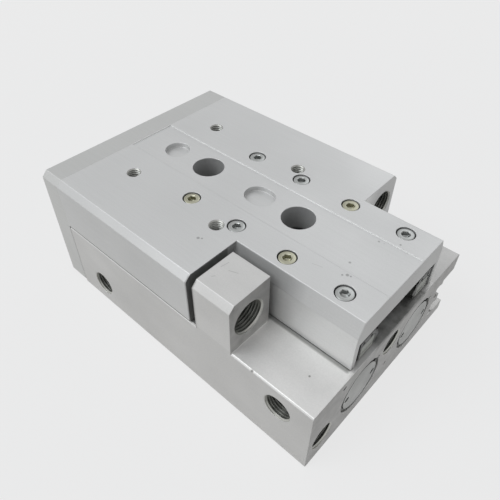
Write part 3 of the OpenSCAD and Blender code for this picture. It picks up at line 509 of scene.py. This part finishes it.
def tapped_aluminium(name, skin, mouth_code, deep_shaded, settings):
    """Tapped walls: bare cut metal, shinier than the blasted skin.

    The mouth has a colour of its own, lighter on the deep holes as a painted highlight, and the wall is
    painted darker towards its depth as shade.
    """
    material, tree, place = start_material(name)
    rounded, edge = broken_edge(tree, settings.edge_break / 2, 0.4)
    cloud, cloud_shade = mottle(tree, place, 6 * MM, 0.92, 1.08)
    height = add_node(tree, "ShaderNodeSeparateXYZ", (place,)).outputs["Z"]
    depth_painted_shade = add_node(tree, "ShaderNodeMapRange", (height, -8 * MM, -2 * MM, 1 - deep_shaded, 1.0))
    mouth = add_node(tree, "ShaderNodeMapRange", (height, -0.75 * MM, -0.5 * MM))
    layers = ((edge, linear("A4A4A0")), (mouth, linear(mouth_code)))
    shades = (cloud_shade, depth_painted_shade, corner_shade(tree, 2 * MM, 0.4 * deep_shaded))
    roughness = add_node(tree, "ShaderNodeMapRange", (cloud, *NOISE_RANGE, 0.54, 0.44))
    return finish_material(material, skin, shades, layers, roughness, (cloud, 0.12, 0.03 * MM, rounded),
                           Metallic=0.85)


def sintered_bronze(settings):
    """Pressed and sintered bronze: warm, dull, and pricked all over by oil-filled pores."""
    material, tree, place = start_material("SinteredBronze")
    rounded, edge = broken_edge(tree, settings.edge_break / 2, 0.3)
    pores = add_node(tree, "ShaderNodeTexVoronoi", {"Vector": place, "Scale": 1 / (0.35 * MM)})
    open_pore = add_node(tree, "ShaderNodeMapRange", (pores, 0.08, 0.3, 1.0, 0.0))
    layers = ((open_pore, linear("5C4526")), (edge, linear("C29A63")))
    roughness = add_node(tree, "ShaderNodeMapRange", (open_pore, 0.0, 1.0, 0.42, 0.7))
    return finish_material(material, settings.bronze, (mottle(tree, place, 4 * MM, 0.93, 1.05)[1],), layers,
                           roughness, (pores, 0.3, 0.05 * MM, rounded), Metallic=1.0)


def moulded(name, skin, roughness, ior, grain_size, strength, shadow_outlines=()):
    """A moulded plastic or rubber: the mould's fine texture, a slow change of shade and painted shade in the
    corners.

    The shadow outlines are boxes, in millimetres, painted near black as shadow.
    """
    material, tree, place = start_material(name)
    rounded, edge = broken_edge(tree, 0.15 * MM, 0.4)
    cloud_shade = mottle(tree, place, 8 * MM, 0.88, 1.12)[1]
    grain, grain_shade = mottle(tree, place, grain_size, 0.94, 1.06, 2.0)
    brighter = tuple(min(1.0, level * 1.6) for level in skin[:3]) + (1.0,)
    layers = [(edge, brighter)]
    painted_shadow = linear("1C1D1B")
    layers.extend((inside_box(tree, place, low, high, 0.15, 0.9), painted_shadow) for low, high in shadow_outlines)
    uneven = add_node(tree, "ShaderNodeMapRange",
                      (grain, *NOISE_RANGE, roughness * 1.15, roughness * 0.85))
    shades = (cloud_shade, grain_shade, corner_shade(tree, 1 * MM, 0.5))
    return finish_material(material, skin, shades, layers, uneven,
                           (grain, strength, 0.05 * MM, rounded), IOR=ior)


# The frames' ends begin this far to either side, in millimetres
FRAME_SIDE = 12.0


def moulded_acetal(settings):
    """Injection moulded grey acetal: slippery and satin, with near-black painted shadow along its top and
    sides.
    """
    low, high = (Vector(corner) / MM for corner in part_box("ball_frame_right"))
    # The frames' tops under the table's roof and their sides beside the walls are painted near black as
    # shadow
    shadow_outlines = [((low.x, -high.y, high.z - 2.6), (high.x + 1, high.y, high.z + 1))]
    for side in (-1, 1):
        for start, stop in ((high.y - 0.8, high.y + 0.5), (low.y, FRAME_SIDE + 0.05)):
            near, far = sorted((side * start, side * stop))
            shadow_outlines.append(((low.x, near, low.z), (high.x + 1, far, high.z + 1)))
    return moulded("MouldedGreyAcetal", settings.acetal, 0.4, 1.48, 0.4 * MM, 0.15, shadow_outlines)


def nitrile_rubber(settings):
    """Pressed nitrile rubber with a film of grease: black and soft, dull but not dry."""
    return moulded("GreasedNitrileRubber", settings.nitrile, 0.5, 1.52, 0.35 * MM, 0.2)


def cast_polyurethane(settings):
    """Cast polyurethane bumpers: amber, waxy and a little see-through at the rim."""
    return moulded("CastPolyurethane", settings.polyurethane, 0.35, 1.5, 0.6 * MM, 0.1)


def pressed_ferrite(settings):
    """Pressed and fired ferrite: a dense, dark grey ceramic with a fine grain."""
    return moulded("PressedFerrite", settings.ferrite, 0.55, 1.9, 0.3 * MM, 0.3)


def dress(material, *names):
    """Gives a material to CAD nodes."""
    for name in names:
        for material_slot in frame["nodes"][name].material_slots:
            material_slot.material = material


# Mesh building


def circle(radius, height, count, knurl=0.0):
    """A ring of points at a height; with a knurl, every second point lies that much further in."""
    return [Vector(((radius - knurl * (k % 2)) * cos(tau * k / count),
                    (radius - knurl * (k % 2)) * sin(tau * k / count), height)) for k in range(count)]


def hexagon(across_flats, height, count):
    """A ring of points on a hexagon at a height."""
    ring = []
    for k in range(count):
        turn = tau * k / count
        reach = across_flats / 2 / cos((turn + pi / 6) % (pi / 3) - pi / 6)
        ring.append(Vector((reach * cos(turn), reach * sin(turn), height)))
    return ring


def loft(name, rings, closed_loop=False, start=None, end=None):
    """A mesh skinned over rings of points; it closes on itself, or at a start and an end point."""
    shape = bmesh.new()
    rows = [[shape.verts.new(point) for point in ring] for ring in rings]
    count = len(rows[0])
    pairs = list(zip(rows, rows[1:]))
    if closed_loop:
        pairs.append((rows[-1], rows[0]))
    for low, high in pairs:
        for k in range(count):
            shape.faces.new((low[k], low[(k + 1) % count], high[(k + 1) % count], high[k]))
    for point, row in ((start, rows[0]), (end, rows[-1])):
        if point is not None:
            tip = shape.verts.new(point)
            for k in range(count):
                shape.faces.new((tip, row[k], row[(k + 1) % count]))
    bmesh.ops.recalc_face_normals(shape, faces=shape.faces)
    mesh = bpy.data.meshes.new(name)
    shape.to_mesh(mesh)
    shape.free()
    mesh.shade_smooth()
    mesh.set_sharp_from_angle(angle=radians(32))
    piece = bpy.data.objects.new(name, mesh)
    bpy.context.scene.collection.objects.link(piece)
    return piece


def set_piece(piece, mouth, axis, material, body):
    """Stands a piece built along +Z on a point, facing along an axis, and fastens it to a body."""
    piece.location = mouth
    piece.rotation_mode = "QUATERNION"
    piece.rotation_quaternion = Vector(axis).to_track_quat("Z", "Y")
    piece.data.materials.append(material)
    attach(piece, body)
    return piece


# Height of a metric and of a pipe thread as shares of the pitch, and the depth of the M5 threads
ISO_HEIGHT = 0.54
PIPE_HEIGHT = 0.64
M5_DEPTH = 8 * MM
# Points round a thread, and rings of them in each pitch
THREAD_POINTS = 48
RINGS_PER_PITCH = 8
# How far a sleeve stays inside the ends of its hole; its wall at the root is twice as thick
SLEEVE_SKIN = 0.01 * MM


def groove(phase):
    """How far into a thread's groove a place is, from 0 on the crest to 1 at the root."""
    slope = abs(2 * (phase % 1) - 1)
    return min(1.0, max(0.0, 1.3 * slope - 0.15))


def thread_sleeve(name, major, pitch, depth, height_ratio, through=False):
    """The threaded wall of a tapped hole, its mouth at the origin and its depth along -Z."""
    crest = major - height_ratio * pitch
    outer = major + 2 * SLEEVE_SKIN
    steps = ceil(depth / pitch * RINGS_PER_PITCH)
    rings = []
    for i in range(steps + 1):
        deep = SLEEVE_SKIN + (depth - 2 * SLEEVE_SKIN) * i / steps
        ring = []
        for k in range(THREAD_POINTS):
            turn = k / THREAD_POINTS
            wall = crest + (major - crest) * groove(deep / pitch + turn)
            entry = major - deep
            exit_cone = major - (depth - deep) if through else 0.0
            reach = min(major, max(wall, entry, exit_cone))
            ring.append(Vector((reach * cos(tau * turn), reach * sin(tau * turn), -deep)))
        rings.append(ring)
    rings.append(circle(outer, -depth + 2 * SLEEVE_SKIN, THREAD_POINTS))
    rings.append(circle(outer, -3 * SLEEVE_SKIN, THREAD_POINTS))
    return loft(name, rings, closed_loop=True)


# Depth of a hexagon socket as a share of the head's height, and of the cone that the drill leaves
# in its floor as a share of the width across flats
SOCKET_DEPTH = 0.55
DRILL_CONE = 0.22


def cap_screw(name, details, head_radius, head_height, socket, shank_radius, total):
    """A socket head cap screw, its head's top at the origin and its shank along -Z."""
    count = details.facets
    chamfer = details.head_chamfer
    entry = details.socket_entry
    depth = head_height * SOCKET_DEPTH
    rings = [
        hexagon(socket, -depth, count),
        hexagon(socket, -entry, count),
        circle(socket / 2 / cos(pi / 6) + entry * 0.4, 0.0, count),
        circle(head_radius - chamfer, 0.0, count),
        circle(head_radius - chamfer * 0.3, -chamfer * 0.35, count),
        circle(head_radius, -chamfer, count, details.knurl_depth),
        circle(head_radius, -head_height + chamfer / 2, count, details.knurl_depth),
        circle(head_radius - chamfer / 2, -head_height, count),
        circle(shank_radius, -head_height, count),
        circle(shank_radius, -total + chamfer, count),
        circle(shank_radius - chamfer, -total, count),
    ]
    tip = Vector((0, 0, -depth - socket * DRILL_CONE))
    return loft(name, rings, start=tip, end=Vector((0, 0, -total)))


def islands(node):
    """The lowest and highest corners of each separate solid in a CAD node."""
    shape = bmesh.new()
    shape.from_mesh(frame["nodes"][node].data)
    bmesh.ops.remove_doubles(shape, verts=shape.verts, dist=0.001 * MM)
    left = set(shape.verts)
    boxes = []
    while left:
        front = [left.pop()]
        found = []
        while front:
            vert = front.pop()
            found.append(vert.co.copy())
            for edge in vert.link_edges:
                other = edge.other_vert(vert)
                if other in left:
                    left.remove(other)
                    front.append(other)
        boxes.append((Vector(min(co[i] for co in found) for i in range(3)),
                      Vector(max(co[i] for co in found) for i in range(3))))
    shape.free()
    return sorted(boxes, key=lambda box: tuple(round(c, 5) for c in box[0]))


# Operators


class SLIDETABLE_OT_aluminium(bpy.types.Operator):
    """Finishes the housing, the table, the yoke plate and the stop block"""
    bl_idname = "slidetable.aluminium"
    bl_label = "Finish Aluminium Bodies"

    def execute(self, context):
        settings = context.scene.slide_finishes
        dress(blasted_aluminium(settings), "housing", "stop_block")
        dress(milled_aluminium("MilledClearAnodisedAluminium", settings.table_alloy, settings), "slide_table")
        dress(milled_aluminium("MilledClearAnodisedYoke", settings.yoke_alloy, settings), "yoke_plate")
        return {"FINISHED"}


class SLIDETABLE_OT_cylinders(bpy.types.Operator):
    """Finishes what is inside and in front of the two cylinder bores"""
    bl_idname = "slidetable.cylinders"
    bl_label = "Finish Cylinders"

    def execute(self, context):
        settings = context.scene.slide_finishes
        dress(hard_anodised_aluminium(settings), "front_cap_left", "front_cap_right", "rear_cap_left",
              "rear_cap_right", "piston_left", "piston_right", "piston_discs")
        dress(hard_chrome(settings), "piston_rod_left", "piston_rod_right")
        dress(sintered_bronze(settings), "rod_bushes")
        dress(phosphated_spring_steel(settings), "front_circlips", "rear_circlips")
        dress(nitrile_rubber(settings), "rod_seals", "front_cap_rings", "rear_cap_rings", "piston_seals")
        dress(cast_polyurethane(settings), "rear_bumpers")
        dress(pressed_ferrite(settings), "piston_magnets")
        return {"FINISHED"}


class SLIDETABLE_OT_ball_guide(bpy.types.Operator):
    """Finishes the rail, the cassettes, the ball frames and the balls"""
    bl_idname = "slidetable.ball_guide"
    bl_label = "Finish Ball Guide"

    def execute(self, context):
        settings = context.scene.slide_finishes
        dress(ground_steel(settings), "guide_rail", "cassette_left", "cassette_right")
        dress(moulded_acetal(settings), "ball_frame_left", "ball_frame_right")
        dress(polished_ball_steel(settings), "guide_balls")
        return {"FINISHED"}


class SLIDETABLE_OT_screws(bpy.types.Operator):
    """Makes every socket head screw with its knurl, chamfers and hexagon socket"""
    bl_idname = "slidetable.screws"
    bl_label = "Make Screws"

    def execute(self, context):
        settings = context.scene.slide_finishes
        details = context.scene.slide_details
        blue = zinc_steel(settings)
        yellow = yellow_zinc_steel(settings)
        # Each row: CAD node, body, the way the heads face, head radius and height, socket, shank radius
        groups = (
            ("cassette_screws", "table", (0, 0, 1), 2.75, 3.0, 2.5, 1.5),
            ("yoke_screws", "table", (-1, 0, 0), 4.25, 5.0, 4.0, 2.5),
            ("rod_screws", "table", (-1, 0, 0), 4.25, 5.0, 4.0, 2.5),
            ("guide_rail_screws", "base", (0, 0, 1), 3.5, 3.0, 2.5, 2.0),
            ("stop_block_screws", "base", (0, 0, 1), 2.75, 3.0, 2.5, 1.5),
        )
        for node, body, axis, head_radius, head_height, socket, shank in groups:
            for number, (low, high) in enumerate(islands(node), 1):
                facing = Vector(axis)
                total = abs((high - low).dot(facing))
                top = (low + high) / 2 + facing * (total / 2)
                piece = cap_screw(f"{node}_{number}", details, head_radius * MM, head_height * MM,
                                  socket * MM, shank * MM, total)
                # Three of the top screws were replaced and have the yellow finish
                old = node == "cassette_screws" and number in (1, 5, 6)
                set_piece(piece, top, facing, yellow if old else blue, body)
                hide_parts(node)
        dress(zinc_steel(settings), "piston_nuts")
        return {"FINISHED"}


class SLIDETABLE_OT_threads(bpy.types.Operator):
    """Cuts the threads of the tapped holes, the air ports and the two stop screws"""
    bl_idname = "slidetable.threads"
    bl_label = "Cut Threads"

    def execute(self, context):
        settings = context.scene.slide_finishes
        # Tapped walls are painted darker towards their depth as shade; the deep ports and stop threads have a
        # darker skin, more of that shade and a painted highlight at the mouth
        clean = tapped_aluminium("TappedAluminium", settings.thread_alloy, "A2A29E", 0.3, settings)
        deep_shaded = tapped_aluminium("ShadeDarkenedTappedAluminium", settings.shade_darkened_alloy, "BCBCB7", 0.65, settings)
        details = context.scene.slide_details
        mounts = {mount["name"]: mount for mount in frame["record"]["mounts"]}
        for name, across, along in (("table_grid", Vector((1, 0, 0)), Vector((0, 1, 0))),
                                    ("yoke_grid", Vector((0, 1, 0)), Vector((0, 0, 1)))):
            mount = mounts[name]
            sizes = mount["dims"]
            for i in (-0.5, 0.5):
                for j in (-0.5, 0.5):
                    offset = (across * (i * sizes["spacing_x_mm"]) + along * (j * sizes["spacing_y_mm"])) * MM
                    number = int(2 * i + j + 2.5)
                    piece = thread_sleeve(f"{name}_thread_{number}", sizes["hole_r_mm"] * MM,
                                          details.m5_pitch, M5_DEPTH, ISO_HEIGHT)
                    set_piece(piece, Vector(mount["pos_m"]) + offset, mount["axis"], clean, "table")
        for name, body, pitch, ratio, through, slot in (
                ("return_stop_thread", "base", details.stop_pitch, ISO_HEIGHT, True, "anodised_aluminium"),
                ("advance_stop_thread", "table", details.stop_pitch, ISO_HEIGHT, True, "table_aluminium"),
                ("side_port_front", "base", details.port_pitch, PIPE_HEIGHT, False, "anodised_aluminium"),
                ("side_port_rear", "base", details.port_pitch, PIPE_HEIGHT, False, "anodised_aluminium"),
                ("end_port_front", "base", details.port_pitch, PIPE_HEIGHT, False, "anodised_aluminium"),
                ("end_port_rear", "base", details.port_pitch, PIPE_HEIGHT, False, "anodised_aluminium")):
            mount = mounts[name]
            depth = mount["dims"]["length_mm"] * MM
            mouth = Vector(mount["pos_m"]) + Vector(mount["axis"]) * (depth / 2)
            piece = thread_sleeve(f"{name}_wall", mount["dims"]["r_mm"] * MM, pitch, depth, ratio, through)
            set_piece(piece, mouth, mount["axis"], deep_shaded, body)
        return {"FINISHED"}


# The studio floor, in metres
FLOOR_RADIUS = 6.0
FLOOR_THICKNESS = 0.01
FLOOR_SIDES = 64
# How far from the object the floor starts and ends going over into the background, in metres
FLOOR_FADE = (0.15, 0.8)


class SLIDETABLE_OT_stage(bpy.types.Operator):
    """Sets up the floor, the lamps, the background and the camera"""
    bl_idname = "slidetable.stage"
    bl_label = "Set Up Studio"

    def execute(self, context):
        stage = context.scene.slide_stage
        self.make_floor(stage)
        self.make_sky(context.scene, stage)
        # The key stands above the left and front, and leaves the rear faces to the sky and the floor
        self.make_softbox("key_softbox", Vector((-0.75, -1.3, 1.85)), 1.4, stage.key_power)
        self.make_softbox("back_softbox", Vector((-0.2, 1.1, 1.05)), 0.8, stage.back_power)
        self.make_camera(context.scene, stage)
        context.scene.view_settings.view_transform = "Standard"
        return {"FINISHED"}

    def make_floor(self, stage):
        """A wide painted floor: plain and pale where it is seen, it keeps the object's soft shadow."""
        material, tree, place = start_material("PaintedStudioFloor")
        # A roller leaves paint very slightly uneven
        paint_shade = mottle(tree, place, 0.4, 0.998, 1.002, 2.0)[1]
        paint = add_node(tree, "ShaderNodeVectorMath", (stage.floor[:3], paint_shade), operation="SCALE")
        lit = add_node(tree, "ShaderNodeBsdfDiffuse", {"Color": paint})
        shaded = add_node(tree, "ShaderNodeBsdfDiffuse", {"Color": stage.background})
        glow = add_node(tree, "ShaderNodeEmission", (stage.background, 1.0))
        # Past the shadow the floor goes over into the background, so that no horizon shows
        away = add_node(tree, "ShaderNodeVectorMath", (place,), operation="LENGTH")
        share = add_node(tree, "ShaderNodeMapRange", (away, *FLOOR_FADE, stage.floor_glow, 1.0))
        pale = add_node(tree, "ShaderNodeMixShader", (share, shaded, glow))
        mix = add_node(tree, "ShaderNodeMixShader", (seen_rays(tree), lit, pale))
        add_node(tree, "ShaderNodeOutputMaterial", (mix,))
        rings = [circle(FLOOR_RADIUS, 0.0, FLOOR_SIDES), circle(FLOOR_RADIUS, -FLOOR_THICKNESS, FLOOR_SIDES)]
        floor = loft("studio_floor", rings, start=Vector((0, 0, 0)), end=Vector((0, 0, -FLOOR_THICKNESS)))
        floor.data.materials.append(material)

    def make_sky(self, scene, stage):
        """Even light from all round; camera, mirror and glass rays see the plain background."""
        world = bpy.data.worlds.new("StudioSky")
        world.use_nodes = True
        tree = world.node_tree
        tree.nodes.clear()
        light = add_node(tree, "ShaderNodeBackground", (linear("F4F9FF"), stage.sky_level))
        backdrop = add_node(tree, "ShaderNodeBackground", (stage.background, 1.0))
        mix = add_node(tree, "ShaderNodeMixShader", (seen_rays(tree), light, backdrop))
        add_node(tree, "ShaderNodeOutputWorld", (mix,))
        scene.world = world

    def make_softbox(self, name, place, size, power):
        """A square area lamp that faces the object."""
        lamp = bpy.data.lights.new(name, "AREA")
        lamp.shape = "SQUARE"
        lamp.size = size
        lamp.energy = power
        lamp.color = linear("F9FCFF")[:3]
        holder = bpy.data.objects.new(name, lamp)
        holder.location = place
        holder.rotation_mode = "QUATERNION"
        holder.rotation_quaternion = place.to_track_quat("Z", "Y")
        bpy.context.scene.collection.objects.link(holder)

    def make_camera(self, scene, stage):
        """The camera above the rear left corner, looking down over the stop lug."""
        camera = bpy.data.cameras.new("camera")
        camera.sensor_width = 36
        camera.lens = stage.lens
        camera.clip_start = 0.005
        holder = bpy.data.objects.new("camera", camera)
        holder.location = stage.camera_place
        holder.rotation_euler = stage.camera_turn
        scene.collection.objects.link(holder)
        scene.camera = holder


class SLIDETABLE_PT_panel(bpy.types.Panel):
    """Lists the slide table's operators and settings"""
    bl_idname = "SLIDETABLE_PT_panel"
    bl_label = "Slide Table"
    bl_space_type = "VIEW_3D"
    bl_region_type = "UI"
    bl_category = "Slide Table"

    def draw(self, context):
        for operator in OPERATORS:
            self.layout.operator(operator.bl_idname)
        for group in SETTINGS:
            settings = getattr(context.scene, group)
            box = self.layout.box()
            for name in settings.__annotations__:
                box.prop(settings, name)


OPERATORS = (SLIDETABLE_OT_aluminium, SLIDETABLE_OT_cylinders, SLIDETABLE_OT_ball_guide,
             SLIDETABLE_OT_screws, SLIDETABLE_OT_threads, SLIDETABLE_OT_stage)
SETTINGS = {"slide_finishes": SlideTableFinishes, "slide_details": SlideTableDetails,
            "slide_stage": SlideTableStage}


def register():
    for group in SETTINGS.values():
        bpy.utils.register_class(group)
    for name, group in SETTINGS.items():
        setattr(bpy.types.Scene, name, PointerProperty(type=group))
    for operator in OPERATORS:
        bpy.utils.register_class(operator)
    bpy.utils.register_class(SLIDETABLE_PT_panel)


def unregister():
    bpy.utils.unregister_class(SLIDETABLE_PT_panel)
    for operator in reversed(OPERATORS):
        bpy.utils.unregister_class(operator)
    for name in SETTINGS:
        delattr(bpy.types.Scene, name)
    for group in reversed(SETTINGS.values()):
        bpy.utils.unregister_class(group)


def main():
    register()
    bpy.ops.slidetable.aluminium()
    bpy.ops.slidetable.cylinders()
    bpy.ops.slidetable.ball_guide()
    bpy.ops.slidetable.screws()
    bpy.ops.slidetable.threads()
    bpy.ops.slidetable.stage()


if __name__ == "__main__":
    main()
